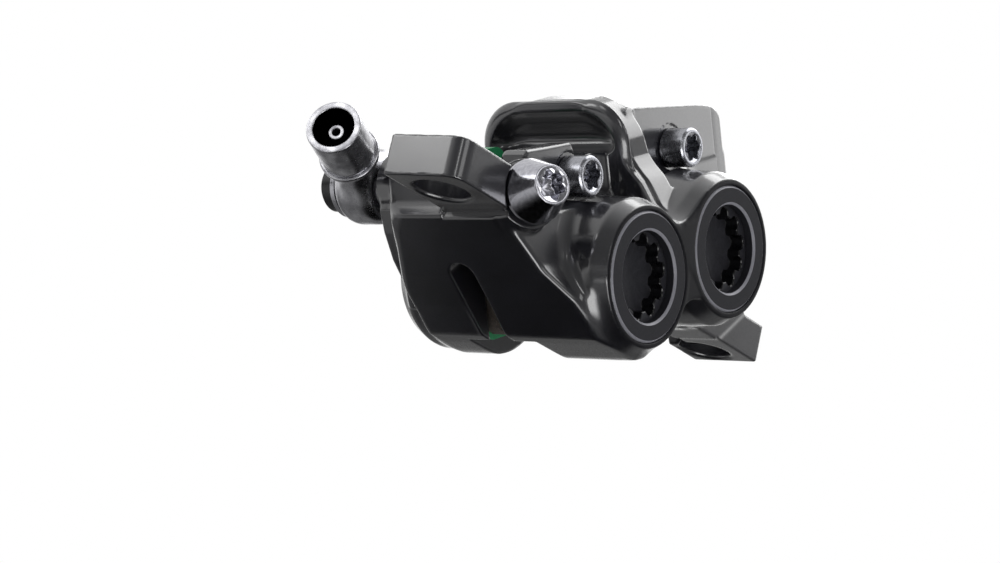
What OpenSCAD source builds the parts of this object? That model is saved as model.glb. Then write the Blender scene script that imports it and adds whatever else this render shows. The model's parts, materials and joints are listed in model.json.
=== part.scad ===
// Four-piston disc brake caliper for a bicycle, post mount, with its pads,
// pistons, screws and hose fitting. Millimetres.
// X runs along the line of the two mounting holes, Y along the rotor axis with
// the bore caps on the minus side, Z away from the rotor centre.
// The origin is midway between the mounting holes on the mounting face.

/* [Mounting] */
// distance between the two mounting holes
mount_spacing = 74.2; // [74:0.1:74.4]
// radius of each mounting hole
mount_hole_r = 4.2; // [3.3:0.1:4.4]
// thickness of the mounting ears
ear_thick = 6.4; // [5:0.1:8]
// width of the mounting ears along the rotor axis
ear_width = 12.5; // [11:0.1:13]

/* [Layout] */
// rotor mid-plane, from the line of the mounting holes
rotor_y = 7.2; // [6:0.1:9]
// tilt of the piston row from the line of the mounting holes
row_tilt = 30.5; // [25:0.5:35]
// middle of the piston row along X
row_x = 6.9; // [4:0.1:9]
// middle of the piston row along Z
row_z = 5.1; // [3:0.1:7]
// distance between neighbouring pistons
piston_spacing = 23; // [22:0.1:25]
// width of the slot the rotor runs in
slot_width = 4.4; // [4.3:0.1:5]
// radius of the rotor that the slot is cut for
rotor_r = 90; // [80:1:101]

/* [Pistons and pads] */
// piston radius
piston_r = 8.5; // [8:0.1:9]
// piston length
piston_len = 9; // [8:0.1:9.5]
// radial running clearance of the pistons and pad screws
running_gap = 0.06; // [0.02:0.01:0.1]
// gap between facing pad linings at rest
pad_gap = 2.6; // [2.2:0.1:3]
// lining thickness
lining_thick = 2.6; // [1.5:0.1:3]
// backing plate thickness
plate_thick = 2; // [1.6:0.1:2.2]
// height of the pad retaining screws above the piston row
screw_rise = 15.9; // [15:0.1:17]
// distance of each pad retaining screw from the middle of the row
screw_offset = 14; // [13:0.1:15]
// pad screw shank radius
screw_shank_r = 2; // [1.5:0.1:2.5]
// pad screw head radius
screw_head_r = 3.15; // [2.8:0.05:3.5]
// pad screw head length
screw_head_len = 4.3; // [3.5:0.1:5]

/* [Caps] */
// distance of the cover ring face from the rotor mid-plane
cap_face = 22; // [21:0.1:23]
// cover ring outside radius
ring_r = 10; // [9.6:0.1:10.4]
// cover ring inside radius
ring_hole_r = 7; // [6.6:0.1:7.4]
// cover ring thickness
ring_thick = 1.7; // [1.2:0.1:2]
// housing radius on the cap side
housing_r = 12.2; // [11.6:0.1:12.6]

/* [Hose fitting] */
// radius of the eye of the fitting
eye_r = 5.9; // [5.4:0.1:6.4]
// thickness of the eye of the fitting
eye_thick = 7.9; // [7.4:0.1:8.4]
// hose sleeve outside radius
sleeve_r = 4.3; // [4:0.1:4.6]
// hose sleeve bore radius
sleeve_bore_r = 3.2; // [2.8:0.1:3.4]
// hose sleeve length
sleeve_len = 8.6; // [7:0.1:10]

/* [View] */
// part to draw

/* [Hidden] */
$fn = 64;
eps = 0.01;
half_row = piston_spacing / 2;
half_slot = slot_width / 2;
fixed_gap = 0.05;
bore_r = piston_r + running_gap;

// across the rotor: faces measured from its mid-plane
lining_face = pad_gap / 2;
plate_face = lining_face + lining_thick;
piston_face = plate_face + plate_thick;
piston_end = piston_face + piston_len;
window_half = piston_face + 0.4;
screw_end = window_half + 2.8;
wall_face = 10.8;
block_face = 19.2;
far_block = 13.4;
far_face = 18;
far_bore_end = piston_end + 1;
cap_outer = cap_face - ring_thick;
cap_inner = piston_end + 1;

// rotor slot, a disc a little larger than the rotor
slot_disc_r = rotor_r + 1;
slot_top = 10.3;

// lug of each backing plate around its screw
tab_half = 3.8;
tab_top = screw_rise + 4.5;
pad_long = 18.4;
pad_deep = 17.3;
pad_mid = -0.35;
pad_corner = 3;
lining_margin = 0.7;
lug_room = 7.2;

// seals
seal_mid = 9.4;
seal_width = 2;
seal_r = piston_r + 1.9;

// caps
cap_r = 9.2;
cap_flange_r = 9.6;
cap_flange_len = 1.2;
lobe_count = 10;
lobe_ring_r = 5.35;
lobe_r = 1.15;
cap_recess = 2.3;
cap_seal_r = 0.7;

// arch between the pad windows
arch_half = 13.7;
arch_top = 26.3;
arch_left = -3.2;
arch_right = 4.4;
arch_corner = 7.6;
arch_rim = 1.4;
arch_pocket_depth = 4.2;
pocket_floor = 12;

// room above the windows
room_end = 25;
room_floor = 19;
room_rise = 20;
room_step = 2.4;

// ears
ear_inner = mount_spacing / 2 - 8.1;
ear_left_end = mount_spacing / 2 + 5.9;
ear_right_end = mount_spacing / 2 + 5.2;
ear_lean = 1.4;
ear_y0 = -7.1;
below = 30;

// bleed screw
bleed_x = 10.7 - mount_spacing / 2;
bleed_y = -7.4;
bleed_z = 3.9;
bleed_pitch = 86;
bleed_yaw = -22.4;
bleed_base_r = 4.9;
bleed_face_r = 3.2;
bleed_len = 5.4;
bleed_shank_r = 2.9;
bleed_shank_len = 7;

// hose fitting
banjo_t = -22.3;
banjo_rise = 15.9;
banjo_boss_r = 5.2;
banjo_bore_r = 3;
banjo_seat = far_face - 1.5;
banjo_seal_thick = 0.8;
washer_inner_r = banjo_bore_r + 1.2;
washer_outer_r = banjo_bore_r + 1.8;
eye_start = banjo_seat + banjo_seal_thick + fixed_gap;
eye_end = eye_start + eye_thick;
eye_edge = 1.6;
arm_start = eye_end - 3.1;
arm_r = 2.85;
arm_tilt = 21.6;
arm_turn = -83.3;
arm_ring_at = 12;
bolt_head_len = 3;
bolt_head_r = 3.9;

// drillings: side by side between the bores, and over the arch
drill_r = 0.8;
chamber_mid = piston_end + 0.5;
cross_t = 3.4;
cross_rise = 13.8;
cross_half = 10.4;
cross_r = 1.1;

// caps, magnets and small fittings
cap_groove_y = cap_inner + 1.6;
ring_edge = 0.35;
magnet_r = 3.5;
magnet_thick = 1.8;
magnet_set = 0.6;
screw_socket_r = 2.1;
bleed_socket_r = 2.25;
bleed_seat = 0.7;
bleed_top = -0.3;
bleed_collar = 0.6;
bleed_room = 0.3;
bleed_seal_r = 0.42;
barb_r = 1.2;
barb_hole_r = 0.65;
barb_set_back = 1.6;
barb_sunk = 5;
spigot_len = 1.6;
ring_lip_r = 4.75;
head_start = eye_end + banjo_seal_thick + fixed_gap;
bolt_tip = 10;
feed_r = 1;
plug_r = 1.6;
plug_len = 3;
plug_key_r = 0.9;

// ---- frames ----
module row_frame() {
    translate([row_x, rotor_y, row_z]) rotate([0, -row_tilt, 0]) children();
}

// extrudes a drawing of (along row, away from rotor centre) across the rotor
module across(y0, y1) {
    translate([0, y1, 0]) rotate([90, 0, 0])
        linear_extrude(y1 - y0) children();
}

// extrudes a drawing of (across rotor, away from rotor centre) along the row
module along(t0, t1) {
    translate([t0, 0, 0]) rotate([90, 0, 90])
        linear_extrude(t1 - t0) children();
}

// a round bar across the rotor, at t along the row and r above it
module bar(t, r, y0, y1, rad) {
    translate([t, y1, r]) rotate([90, 0, 0]) cylinder(h = y1 - y0, r = rad);
}

// a narrow drilled hole from one point to another
module drilling(from, to) {
    v = to - from;
    translate(from) rotate([0, acos(v[2] / norm(v)), atan2(v[1], v[0])])
        cylinder(h = norm(v), r = drill_r, $fn = 24);
}

module bleed_frame() {
    translate([bleed_x, bleed_y, bleed_z]) rotate([bleed_pitch, 0, bleed_yaw])
        children();
}

module rounded(r) {
    offset(r = r) offset(delta = -r) children();
}

// ---- caliper body ----
// lower outline of both halves, seen along the rotor axis
module lower_outline() {
    translate([-half_row, 0]) circle(housing_r);
    translate([half_row, 0]) circle(housing_r);
    polygon([[-34.2, 13.6], [-31.6, 8.6], [-29, 3.4], [-25.8, -2.1],
        [-22.5, -7.5], [-19.8, -9], [-11.5, -11], [-4, -9.2], [4, -9.2],
        [11.5, -11], [21, -7.5], [25.5, -3.5], [32, 1], [34.6, 5], [35, 8.5],
        [34.2, 12.4], [5, 12.4], [5, 11.6], [-10, 11.6], [-23, 12.6],
        [-24, 15.6], [-31, 16]]);
}

// near face of the lower part, leaning out towards the caps at the bottom
module near_lean() {
    polygon([[-12.6, 17], [-13.2, 11.6], [-15.2, 4.6], [-18.4, -0.5],
        [-block_face, -4], [-block_face, -20], [far_block, -20],
        [far_block, 17]]);
}

// walls beside the pads: low on the left, tall on the right
module wall_outline() {
    polygon([[-34, 13], [-31.4, 19.7], [-26.9, 17.3], [-24.9, 17.2],
        [-24.5, 20.2], [-23.6, 20.9], [-18, 20.4], [-12.6, 20.2],
        [-11.4, 18.2], [-7.5, 18.6], [-3.6, 18], [-1.2, 16.6], [-0.2, 14.6],
        [0, 8], [-30, 8]]);
    rounded(2.6) polygon([[-2, 4], [-2, 25], [8, 24.4], [19, 23],
        [27.4, 21.9], [31.4, 19.8], [33.8, 16.2], [35, 12], [35.2, 8], [30, 4]]);
}

module arch_outline() {
    rounded(arch_corner) polygon([[-arch_half, -6], [-arch_half, arch_top],
        [arch_half, arch_top], [arch_half, -6]]);
}

// plan of the whole body with the corners of its ends taken off
module plan_outline() {
    polygon([[-36, -block_face], [-half_row, -block_face],
        [-half_row, -wall_face], [29, -wall_face], [33.5, -10],
        [35.2, -7.5], [35.2, 7.5], [33.5, 10], [29, far_block],
        [-27, far_block], [-33, 9], [-36, 4]]);
}

module web_outline() {
    difference() {
        square([2 * half_row, 19.6], center = true);
        translate([0, 14.2]) circle(8);
        translate([0, -13.9]) circle(8);
    }
}

// an ear from x0 to x1, the end at x0 slanting by lean
module ear(x0, x1, lean) {
    translate([x0, ear_y0, 0]) linear_extrude(ear_thick)
        polygon([[0, 0], [-lean, ear_width], [x1 - x0, ear_width], [x1 - x0, 0]]);
}

// a housing with the edge of its mouth drawn in, mouth at y = depth
module housing(t, depth, rad, edge, draw_in) {
    translate([t, 0, 0]) rotate([-90, 0, 0]) rotate_extrude()
        polygon([[0, 0], [rad, 0], [rad, depth - edge],
            [rad - draw_in * 0.35, depth - edge * 0.4],
            [rad - draw_in, depth], [0, depth]]);
}

module body_shape() {
    row_frame() {
        // block that holds both halves, and the walls beside the pads
        intersection() {
            union() {
                intersection() {
                    across(-block_face, far_block) lower_outline();
                    along(-40, 40) near_lean();
                }
                across(-wall_face, wall_face) wall_outline();
            }
            translate([0, 0, -20]) linear_extrude(50) plan_outline();
        }
        // housings of the pistons, drawn in towards each mouth
        for (t = [-half_row, half_row]) {
            mirror([0, 1, 0]) housing(t, cap_face, housing_r, 2.4, 1.4);
            housing(t, far_face, housing_r - 0.2, 2, 1.4);
        }
        across(-cap_face + 0.4, far_face - 1) web_outline();
        // boss under the hose fitting
        bar(banjo_t, banjo_rise, 4, banjo_seat, banjo_boss_r);
        across(4, banjo_seat - 0.8)
            polygon([[-28.4, 13.4], [-27.9, 9.6], [-26.6, 5], [-24.7, 1.2],
                [-23.2, -3], [-10, 0], [-16, 16], [-24, 20.6]]);
        // arch between the windows
        along(arch_left, arch_right) arch_outline();
        across(-arch_half, arch_half)
            polygon([[arch_left, 4], [arch_left, 18], [arch_right, 20],
                [6.4, 13], [8, 6]]);
        // flank of the arch running down to the web
        intersection() {
            across(-cap_face, -arch_half + 1)
                polygon([[arch_left, 0], [arch_left, 16], [arch_right, 18],
                    [6.6, 12], [8, 0]]);
            along(arch_left, 8) polygon([[-cap_face, 0], [-cap_face, 6.2],
                [-19, 7.4], [-16.8, 9.4], [-15, 12.6], [-13.7, 18],
                [-12, 18], [-12, 0]]);
        }
    }
    // ears, each with a root that reaches into the block
    ear(-ear_left_end, -ear_inner + 6, ear_lean);
    mirror([1, 0, 0]) ear(-ear_right_end, -ear_inner + 6, 0);
    translate([ear_inner - 9, ear_y0 + ear_width, 0]) rotate([90, 0, 0])
        linear_extrude(ear_width)
            polygon([[0, 0], [9, 0], [15, ear_thick], [8, 12], [0, 12]]);
    // boss of the bleed screw
    bleed_frame() translate([0, 0, -9]) cylinder(h = 8.7, r = bleed_base_r + 0.4);
}

// the rotor's slot, round along its closed end
module rotor_slot() {
    translate([0, 0, slot_top - slot_disc_r]) rotate([90, 0, 0])
        rotate_extrude($fn = 240) {
            translate([0, -half_slot]) square([slot_disc_r - half_slot, slot_width]);
            translate([slot_disc_r - half_slot, 0]) circle(half_slot, $fn = 24);
        }
}

// one pad's place in the window, seen along the rotor axis
module pad_outline(grow) {
    offset(delta = grow) {
        translate([-half_row, pad_mid]) rounded(pad_corner)
            square([pad_long, pad_deep], center = true);
        translate([-screw_offset, tab_top - 7]) rounded(2.4)
            square([2 * tab_half, 14], center = true);
    }
}

// room for one pair of pads, which drop in from the top
module window_cut() {
    across(-window_half, window_half) {
        pad_outline(0.3);
        translate([-screw_offset - lug_room, 8]) square([2 * lug_room, 30]);
    }
    // below the bores the window is open to the rotor side
    across(-window_half, window_half)
        translate([-half_row, -12]) square([18, 16], center = true);
}

// room above the windows, from the arch outwards, wider on the right
module upper_room() {
    across(-window_half, window_half)
        translate([-room_end, room_floor]) square([room_end + arch_left, room_rise]);
    across(-wall_face + room_step, wall_face - room_step)
        translate([arch_right, room_floor]) square([room_end - arch_right, room_rise]);
}

module arch_pocket() {
    along(arch_left - eps, arch_left + arch_pocket_depth)
        rounded(arch_corner - arch_rim)
            polygon([[-arch_half + arch_rim, pocket_floor],
                [-arch_half + arch_rim, arch_top - arch_rim],
                [arch_half - arch_rim, arch_top - arch_rim],
                [arch_half - arch_rim, pocket_floor]]);
}

module caliper_body() {
    color([0.02, 0.02, 0.025]) difference() {
        body_shape();
        row_frame() {
            rotor_slot();
            for (m = [0, 1]) mirror([m, 0, 0]) window_cut();
            upper_room();
            arch_pocket();
            for (t = [-half_row, half_row]) {
                // bores, seal grooves and the caps' seats
                bar(t, 0, -cap_face - 1, -half_slot, bore_r);
                bar(t, 0, half_slot, far_bore_end, bore_r);
                for (mid = [-seal_mid, seal_mid])
                    bar(t, 0, mid - seal_width / 2, mid + seal_width / 2,
                        seal_r + fixed_gap);
                bar(t, 0, -cap_outer, -cap_inner, cap_r + fixed_gap);
                bar(t, 0, -cap_face - 1, -cap_outer + cap_flange_len,
                    cap_flange_r + fixed_gap);
                bar(t, 0, -cap_face - 1, -cap_outer, ring_r + fixed_gap);
            }
            for (t = [-screw_offset, screw_offset]) {
                bar(t, screw_rise, -block_face - 4, -wall_face + 0.2, screw_head_r + 0.6);
                bar(t, screw_rise, -block_face, screw_end + 0.3,
                    screw_shank_r + running_gap);
            }
            // drillings from chamber to chamber and over the arch
            for (y = [-chamber_mid, chamber_mid]) {
                drilling([-half_row, y, 0], [half_row, y, 0]);
                drilling([half_row - 4, y, 7], [cross_t, sign(y) * cross_half, cross_rise]);
            }
            bar(cross_t, cross_rise, -cross_half - 1.2, arch_half, cross_r);
            bar(cross_t, cross_rise, arch_half - plug_len, arch_half + 1,
                plug_r + fixed_gap);
            // from the fitting and from the bleed screw to the left chambers
            bar(banjo_t, banjo_rise, bolt_tip - 2, far_face + 1,
                banjo_bore_r + fixed_gap);
            drilling([banjo_t, bolt_tip - 1.2, banjo_rise],
                [-half_row - 5, chamber_mid, 6]);
            drilling([-27, -8.3, 14], [-half_row - 5.5, -chamber_mid, 6]);
        }
        for (x = [-mount_spacing / 2, mount_spacing / 2])
            translate([x, 0, -1]) cylinder(h = ear_thick + 2, r = mount_hole_r);
        // nothing below the mounting faces
        translate([ear_inner, -below, -below]) cube([below, 2 * below, below]);
        translate([-ear_left_end - 10, ear_y0 - 5, -below])
            cube([ear_left_end + 10 - ear_inner, ear_width + 5.2, below]);
        bleed_frame() {
            translate([0, 0, -bleed_shank_len - 0.3])
                cylinder(h = bleed_shank_len + 1, r = bleed_shank_r + fixed_gap);
            translate([0, 0, bleed_top])
                cylinder(h = bleed_len + 3, r = bleed_base_r + bleed_room);
        }
    }
}

// ---- caps over the near bores ----
module bore_cap(t) {
    color([0.05, 0.05, 0.055]) row_frame() difference() {
        union() {
            bar(t, 0, -cap_outer, -cap_inner, cap_r);
            bar(t, 0, -cap_outer, -cap_outer + cap_flange_len, cap_flange_r);
        }
        // socket with round lobes
        bar(t, 0, -cap_outer - eps, -cap_outer + cap_recess, lobe_ring_r);
        for (i = [0 : lobe_count - 1])
            translate([t, 0, 0]) rotate([0, i * 360 / lobe_count, 0])
                bar(0, lobe_ring_r, -cap_outer - eps, -cap_outer + cap_recess, lobe_r);
        // groove of the seal
        translate([t, -cap_groove_y, 0]) rotate([90, 0, 0])
            rotate_extrude() translate([cap_r - 2 * cap_seal_r, -cap_seal_r - 0.1])
                square([2 * cap_seal_r + 1, 2 * cap_seal_r + 0.2]);
    }
}

module cap_ring(t) {
    color([0.06, 0.06, 0.065]) row_frame() translate([t, -cap_outer - fixed_gap / 2, 0])
        rotate([90, 0, 0]) difference() {
            cylinder(h = ring_thick - fixed_gap / 2, r = ring_r);
            translate([0, 0, -eps]) cylinder(h = ring_thick + 1, r = ring_hole_r);
            translate([0, 0, ring_thick - ring_edge]) cylinder(h = ring_edge + eps,
                r1 = ring_hole_r, r2 = ring_hole_r + ring_edge);
            translate([0, 0, ring_thick - ring_edge]) difference() {
                cylinder(h = ring_edge + 1, r = ring_r + 1);
                translate([0, 0, -eps]) cylinder(h = ring_edge + eps,
                    r1 = ring_r, r2 = ring_r - ring_edge);
            }
        }
}

module seal_ring(t, y, rad, thick) {
    row_frame() translate([t, y, 0]) rotate([90, 0, 0])
        rotate_extrude() translate([rad, 0]) circle(thick, $fn = 20);
}

module cap_seal(t) {
    color([0.03, 0.03, 0.03])
        seal_ring(t, -cap_groove_y, cap_r - cap_seal_r + 0.05, cap_seal_r - 0.04);
}

// ---- pistons, their magnets and seals ----
// side is -1 for the near half and 1 for the far half
module piston(t, side) {
    color([0.75, 0.75, 0.72]) row_frame() mirror([0, side > 0 ? 0 : 1, 0])
        difference() {
            bar(t, 0, piston_face, piston_end, piston_r);
            bar(t, 0, piston_face - 1, piston_face + magnet_set + magnet_thick,
                magnet_r + fixed_gap);
            bar(t, 0, piston_end - 3.2, piston_end + 1, piston_r - 2.4);
        }
}

module magnet(t, side) {
    color([0.7, 0.7, 0.72]) row_frame() mirror([0, side > 0 ? 0 : 1, 0])
        bar(t, 0, piston_face + magnet_set - fixed_gap,
            piston_face + magnet_set + magnet_thick - fixed_gap, magnet_r);
}

module piston_seal(t, side) {
    color([0.05, 0.05, 0.05]) row_frame() mirror([0, side > 0 ? 0 : 1, 0])
        difference() {
            bar(t, 0, seal_mid - seal_width / 2 + fixed_gap,
                seal_mid + seal_width / 2 - fixed_gap, seal_r);
            bar(t, 0, 0, 2 * seal_mid, bore_r);
        }
}

// ---- pads ----
module pad_plate(left, side) {
    color([0.02, 0.35, 0.16]) row_frame() mirror([0, side > 0 ? 0 : 1, 0])
        mirror([left ? 0 : 1, 0, 0]) across(plate_face, piston_face) difference() {
            pad_outline(0);
            translate([-screw_offset, screw_rise]) circle(screw_shank_r + running_gap);
        }
}

module pad_lining(left, side) {
    color([0.3, 0.27, 0.22]) row_frame() mirror([0, side > 0 ? 0 : 1, 0])
        mirror([left ? 0 : 1, 0, 0]) across(lining_face, plate_face)
            translate([-half_row, pad_mid]) rounded(pad_corner)
                square([pad_long - 2 * lining_margin, pad_deep - 2 * lining_margin],
                    center = true);
}

// ---- screws ----
module star_socket(r, depth) {
    translate([0, 0, -depth]) linear_extrude(depth + 1) difference() {
        circle(r);
        for (i = [0 : 5]) rotate(i * 60 + 30) translate([r * 1.08, 0]) circle(r * 0.3);
    }
}

module pad_screw(t) {
    color([0.35, 0.35, 0.38]) row_frame() translate([t, -wall_face, screw_rise])
        rotate([90, 0, 0]) difference() {
            union() {
                cylinder(h = screw_head_len - 0.35, r = screw_head_r);
                translate([0, 0, screw_head_len - 0.35 - eps])
                    cylinder(h = 0.35 + eps, r1 = screw_head_r, r2 = screw_head_r - 0.35);
                translate([0, 0, -wall_face - screw_end])
                    cylinder(h = wall_face + screw_end, r = screw_shank_r);
            }
            translate([0, 0, screw_head_len]) star_socket(screw_socket_r, 2.6);
        }
}

module bleed_screw() {
    color([0.75, 0.75, 0.78]) bleed_frame() difference() {
        union() {
            translate([0, 0, bleed_seat]) cylinder(h = bleed_collar, r = bleed_base_r);
            translate([0, 0, bleed_seat + bleed_collar - eps])
                cylinder(h = bleed_len - bleed_collar + eps,
                    r1 = bleed_base_r, r2 = bleed_face_r);
            translate([0, 0, -bleed_shank_len])
                cylinder(h = bleed_shank_len + bleed_seat + eps, r = bleed_shank_r);
        }
        translate([0, 0, bleed_seat + bleed_len]) star_socket(bleed_socket_r, 2.8);
        translate([0, 0, bleed_seat + bleed_len - 0.5 + eps])
            cylinder(h = 0.5, r1 = bleed_socket_r, r2 = bleed_face_r - 0.35);
    }
}

module bleed_seal() {
    color([0.03, 0.03, 0.03]) bleed_frame() translate([0, 0, (bleed_seat + bleed_top) / 2])
        rotate_extrude() translate([bleed_shank_r + bleed_seal_r + fixed_gap, 0])
            circle(bleed_seal_r, $fn = 20);
}

module crossover_plug() {
    color([0.3, 0.3, 0.32]) row_frame()
        translate([cross_t, arch_half, cross_rise]) rotate([-90, 0, 0]) difference() {
            translate([0, 0, -plug_len]) cylinder(h = plug_len, r = plug_r);
            translate([0, 0, -1.4]) cylinder(h = 2, r = plug_key_r, $fn = 6);
        }
}

// ---- hose fitting, turning about the banjo bolt ----
module banjo_axis() {
    row_frame() translate([banjo_t, 0, banjo_rise]) rotate([0, row_tilt, 0]) children();
}

module arm_frame() {
    banjo_axis() translate([0, arm_start, 0]) rotate([arm_tilt, arm_turn, 0]) children();
}

module hose_eye() {
    color([0.6, 0.6, 0.62]) difference() {
        union() {
            banjo_axis() {
                bar(0, 0, eye_start + eye_edge, eye_end - eye_edge, eye_r);
                translate([0, eye_start, 0]) rotate([-90, 0, 0])
                    cylinder(h = eye_edge + eps, r1 = eye_r - 1.2, r2 = eye_r);
                translate([0, eye_end, 0]) rotate([90, 0, 0])
                    cylinder(h = eye_edge + eps, r1 = eye_r - 1.2, r2 = eye_r);
            }
            arm_frame() {
                cylinder(h = arm_ring_at, r = arm_r);
                translate([0, 0, arm_ring_at - 2.6])
                    cylinder(h = 1.8 + eps, r1 = arm_r, r2 = ring_lip_r);
                translate([0, 0, arm_ring_at - 0.8]) cylinder(h = 0.8, r = ring_lip_r);
                translate([0, 0, arm_ring_at - 1])
                    cylinder(h = 1 + spigot_len, r = sleeve_bore_r - fixed_gap);
            }
        }
        banjo_axis() bar(0, 0, eye_start - 1, eye_end + 1, banjo_bore_r + running_gap);
        banjo_axis() bar(0, 0, arm_start - 1.2, arm_start + 1.2, banjo_bore_r + 0.8);
        arm_frame() translate([0, 0, banjo_bore_r]) cylinder(h = 30, r = barb_r + fixed_gap);
    }
}

module hose_sleeve() {
    color([0.5, 0.5, 0.53]) arm_frame() translate([0, 0, arm_ring_at + fixed_gap])
        difference() {
            union() {
                cylinder(h = sleeve_len - 0.4, r = sleeve_r);
                translate([0, 0, sleeve_len - 0.4 - eps])
                    cylinder(h = 0.4 + eps, r1 = sleeve_r, r2 = sleeve_r - 0.4);
            }
            translate([0, 0, -1]) cylinder(h = sleeve_len + 2, r = sleeve_bore_r);
            translate([0, 0, sleeve_len - 0.3]) cylinder(h = 0.3 + eps,
                r1 = sleeve_bore_r, r2 = sleeve_bore_r + 0.3);
        }
}

module hose_barb() {
    color([0.7, 0.7, 0.72]) arm_frame() difference() {
        union() {
            translate([0, 0, arm_ring_at - barb_sunk])
                cylinder(h = barb_sunk + sleeve_len - barb_set_back, r = barb_r);
            for (i = [0 : 1])
                translate([0, 0, arm_ring_at + spigot_len + 0.1 + i * 1.2])
                    cylinder(h = 1, r1 = barb_r + 0.25, r2 = barb_r);
        }
        translate([0, 0, arm_ring_at - 6]) cylinder(h = 30, r = barb_hole_r);
    }
}

module banjo_bolt() {
    color([0.02, 0.02, 0.02]) banjo_axis() difference() {
        union() {
            bar(0, 0, head_start, head_start + bolt_head_len - 0.5, bolt_head_r);
            translate([0, head_start + bolt_head_len, 0]) rotate([90, 0, 0])
                cylinder(h = 0.5 + eps, r1 = bolt_head_r - 0.5, r2 = bolt_head_r);
            bar(0, 0, bolt_tip, head_start + eps, banjo_bore_r);
        }
        translate([0, head_start + bolt_head_len, 0]) rotate([-90, 0, 0])
            star_socket(2.2, 2.2);
        // drilling that feeds the hose
        bar(0, 0, bolt_tip - 1, arm_start + 1, feed_r);
        bar_across_bolt();
    }
}

module bar_across_bolt() {
    translate([-banjo_bore_r - 1, arm_start, 0]) rotate([0, 90, 0])
        cylinder(h = 2 * banjo_bore_r + 2, r = feed_r, $fn = 24);
}

module banjo_washer(y0, rad) {
    banjo_axis() difference() {
        bar(0, 0, y0, y0 + banjo_seal_thick, rad);
        bar(0, 0, y0 - 1, y0 + 2, banjo_bore_r + fixed_gap);
    }
}

module banjo_seal_inner() {
    color([0.72, 0.45, 0.3]) banjo_washer(banjo_seat + fixed_gap / 2, washer_inner_r);
}

module banjo_seal_outer() {
    color([0.8, 0.8, 0.82]) banjo_washer(eye_end + fixed_gap / 2, washer_outer_r);
}

caliper_body();
bore_cap(-half_row);  // bore_cap_left
bore_cap(half_row);  // bore_cap_right
cap_ring(-half_row);  // cap_ring_left
cap_ring(half_row);  // cap_ring_right
cap_seal(-half_row);  // cap_seal_left
cap_seal(half_row);  // cap_seal_right
piston(-half_row, -1);  // piston_near_left
piston(half_row, -1);  // piston_near_right
piston(-half_row, 1);  // piston_far_left
piston(half_row, 1);  // piston_far_right
magnet(-half_row, -1);  // magnet_near_left
magnet(half_row, -1);  // magnet_near_right
magnet(-half_row, 1);  // magnet_far_left
magnet(half_row, 1);  // magnet_far_right
piston_seal(-half_row, -1);  // seal_near_left
piston_seal(half_row, -1);  // seal_near_right
piston_seal(-half_row, 1);  // seal_far_left
piston_seal(half_row, 1);  // seal_far_right
pad_plate(true, -1);  // plate_near_left
pad_plate(false, -1);  // plate_near_right
pad_plate(true, 1);  // plate_far_left
pad_plate(false, 1);  // plate_far_right
pad_lining(true, -1);  // lining_near_left
pad_lining(false, -1);  // lining_near_right
pad_lining(true, 1);  // lining_far_left
pad_lining(false, 1);  // lining_far_right
pad_screw(-screw_offset);  // pad_screw_left
pad_screw(screw_offset);  // pad_screw_right
bleed_screw();
bleed_seal();
hose_eye();
hose_sleeve();
hose_barb();
banjo_bolt();
banjo_seal_inner();
banjo_seal_outer();
crossover_plug();
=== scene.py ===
import bpy
import json
import math
import numpy as np
from mathutils import Matrix, Vector


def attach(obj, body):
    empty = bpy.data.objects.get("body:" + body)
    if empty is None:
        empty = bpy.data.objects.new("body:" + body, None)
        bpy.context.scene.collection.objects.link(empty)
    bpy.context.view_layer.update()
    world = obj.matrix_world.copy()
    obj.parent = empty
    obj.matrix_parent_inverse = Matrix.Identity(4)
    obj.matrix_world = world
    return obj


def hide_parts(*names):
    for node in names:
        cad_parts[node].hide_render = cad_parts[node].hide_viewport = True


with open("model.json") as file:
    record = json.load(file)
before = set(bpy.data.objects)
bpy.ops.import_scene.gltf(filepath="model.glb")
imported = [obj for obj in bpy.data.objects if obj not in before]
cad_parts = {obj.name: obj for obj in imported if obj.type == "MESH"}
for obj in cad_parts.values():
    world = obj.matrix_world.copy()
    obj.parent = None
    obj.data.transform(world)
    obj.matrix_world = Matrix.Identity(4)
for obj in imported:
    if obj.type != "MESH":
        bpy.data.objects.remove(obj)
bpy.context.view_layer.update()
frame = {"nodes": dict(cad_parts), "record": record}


# Row frame. The pistons stand in a row that leans 30.5 degrees from the line
# of the ears' holes: t runs along the row, q across the slot, r outwards.
# All sizes are in millimetres, and MM turns them to metres.
ROW_TILT = math.radians(30.5)
COS_ROW, SIN_ROW = math.cos(ROW_TILT), math.sin(ROW_TILT)
ROW_X, SLOT_Y, ROW_Z = 6.9, 7.2, 5.1
ROW = Matrix(((COS_ROW, 0, -SIN_ROW, ROW_X), (0, 1, 0, SLOT_Y),
              (SIN_ROW, 0, COS_ROW, ROW_Z), (0, 0, 0, 1)))
MM = Matrix.Scale(0.001, 4)


def world_of(t, q, r):
    return ROW_X + COS_ROW * t - SIN_ROW * r, q + SLOT_Y, ROW_Z + SIN_ROW * t + COS_ROW * r


# Caliper body. One aluminium forging with both ears, cut by a middle slot,
# two pad windows and the bores. It is worked out as a distance field in the
# row frame, so that forged edges blend softly and machined ones stay tight.
ROW_HALF = 11.5
# across the slot, from the caps' side to the far side
MOUTH, RING_SEAT, CAP_SEAT, BORE_FLOOR = -22, -20.3, -15.9, 15.9
WALL_HALF, FAR_WALL, FAR_END = 10.8, 13.4, 18
SLOT_HALF, PAD_HALF, ROOM_HALF = 2.2, 6.3, 8.4
# radii of the housings, bores and seats, and of the slot's round top
HOUSING_R, BORE_R, FLANGE_SEAT_R, RING_SEAT_R = 12.2, 8.56, 9.25, 10.05
SLOT_TOP_R, SLOT_AXIS_R = 88.8, 80.7
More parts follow.
